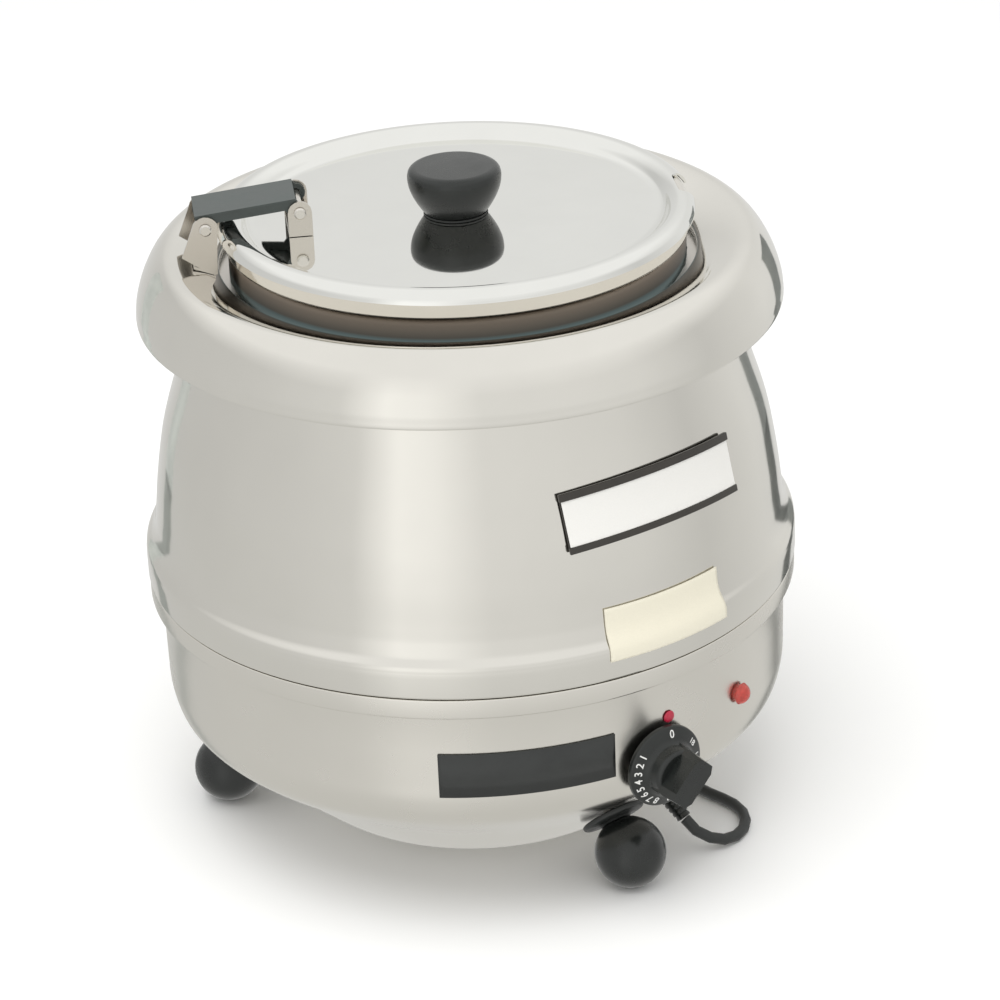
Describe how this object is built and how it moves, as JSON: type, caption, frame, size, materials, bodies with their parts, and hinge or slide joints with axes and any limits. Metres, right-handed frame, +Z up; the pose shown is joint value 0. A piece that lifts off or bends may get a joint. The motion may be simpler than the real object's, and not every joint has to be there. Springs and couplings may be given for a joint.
{
  "type": "soup kettle",
  "caption": "Electric soup kettle: barrel body on ball feet with a lift-out pot, a hinged lid with a ladle notch, a dial thermostat and a mains cord.",
  "frame": {"origin": "on the kettle's axis, at the surface that the three ball feet stand on", "axes": "+Z up along the kettle's axis; -Y out through the thermostat dial; +X to the right when facing the dial"},
  "size_m": [0.395, 0.4333, 0.3545],
  "materials": {
    "satin_steel": "satin",
    "polished_steel": "mirror polished",
    "plain_steel": "plain",
    "black_plastic": "moulded phenolic",
    "link_grey": "semi-gloss",
    "red_plastic": "translucent red",
    "white_card": "card",
    "cream_vinyl": "vinyl",
    "dark_plate": "matte",
    "glass_wool": "fibrous",
    "copper": "bright",
    "black_rubber": "matte",
    "lamp_body": "moulded"
  },
  "bodies": {
    "kettle": {"ball_foot_1": "black_plastic", "ball_foot_2": "black_plastic", "ball_foot_3": "black_plastic", "barrel": "satin_steel", "base_bowl": "satin_steel", "base_cover": "satin_steel", "caution_plate": "dark_plate", "clamp_stud": "plain_steel", "collar": "satin_steel", "collar_bracket": "plain_steel", "collar_pin": "plain_steel", "collar_rivet_1": "plain_steel", "collar_rivet_2": "plain_steel", "cord_coil": "black_rubber", "cord_gland": "black_plastic", "cover_screw_1": "plain_steel", "cover_screw_2": "plain_steel", "cover_screw_3": "plain_steel", "element_clamp": "plain_steel", "foot_bolt_1": "plain_steel", "foot_bolt_2": "plain_steel", "foot_bolt_3": "plain_steel", "foot_seat_1": "black_rubber", "foot_seat_2": "black_rubber", "foot_seat_3": "black_rubber", "front_sticker": "cream_vinyl", "gland_nut": "black_plastic", "heating_element": "plain_steel", "index_dot": "red_plastic", "inner_pot": "satin_steel", "insulation_blanket": "glass_wool", "label_card": "white_card", "label_holder": "black_plastic", "pilot_lamp_body": "lamp_body", "pilot_lamp_lens": "red_plastic", "pilot_lamp_nut": "plain_steel", "power_cord": "black_rubber", "power_plug": "black_plastic", "sensing_bulb": "copper", "terminal_block": "black_plastic", "thermal_cutout": "black_plastic", "thermostat_body": "black_plastic", "thermostat_screw_1": "plain_steel", "thermostat_screw_2": "plain_steel", "well_liner": "plain_steel", "well_support_ring": "plain_steel"},
    "link": {"hinge_link": "link_grey"},
    "lid": {"lid": "polished_steel", "lid_bracket": "plain_steel", "lid_pin": "plain_steel", "lid_rivet_1": "plain_steel", "lid_rivet_2": "plain_steel", "lid_knob": "black_plastic", "lid_knob_washer": "black_rubber", "lid_knob_screw": "plain_steel"},
    "dial": {"thermostat_knob": "black_plastic", "thermostat_shaft": "plain_steel"}
  },
  "joints": [
    {"name": "lid_hinge", "type": "hinge", "parent": "kettle", "child": "link", "pos_m": [-0.11316, 0.05766, 0.3375], "axis": [-0.454, -0.891, 0], "range_deg": [0, 110]},
    {"name": "lid_pivot", "type": "hinge", "parent": "link", "child": "lid", "pos_m": [-0.07083, 0.03609, 0.3422], "axis": [-0.454, -0.891, 0], "range_deg": [-5.5, 0]},
    {"name": "dial_turn", "type": "hinge", "parent": "kettle", "child": "dial", "pos_m": [0, -0.1663, 0.084], "axis": [0, 1, 0], "range_deg": [0, 312]}
  ],
  "couplings": [
    {"joint": "lid_pivot", "follows": "lid_hinge", "ratio": -0.05}
  ]
}
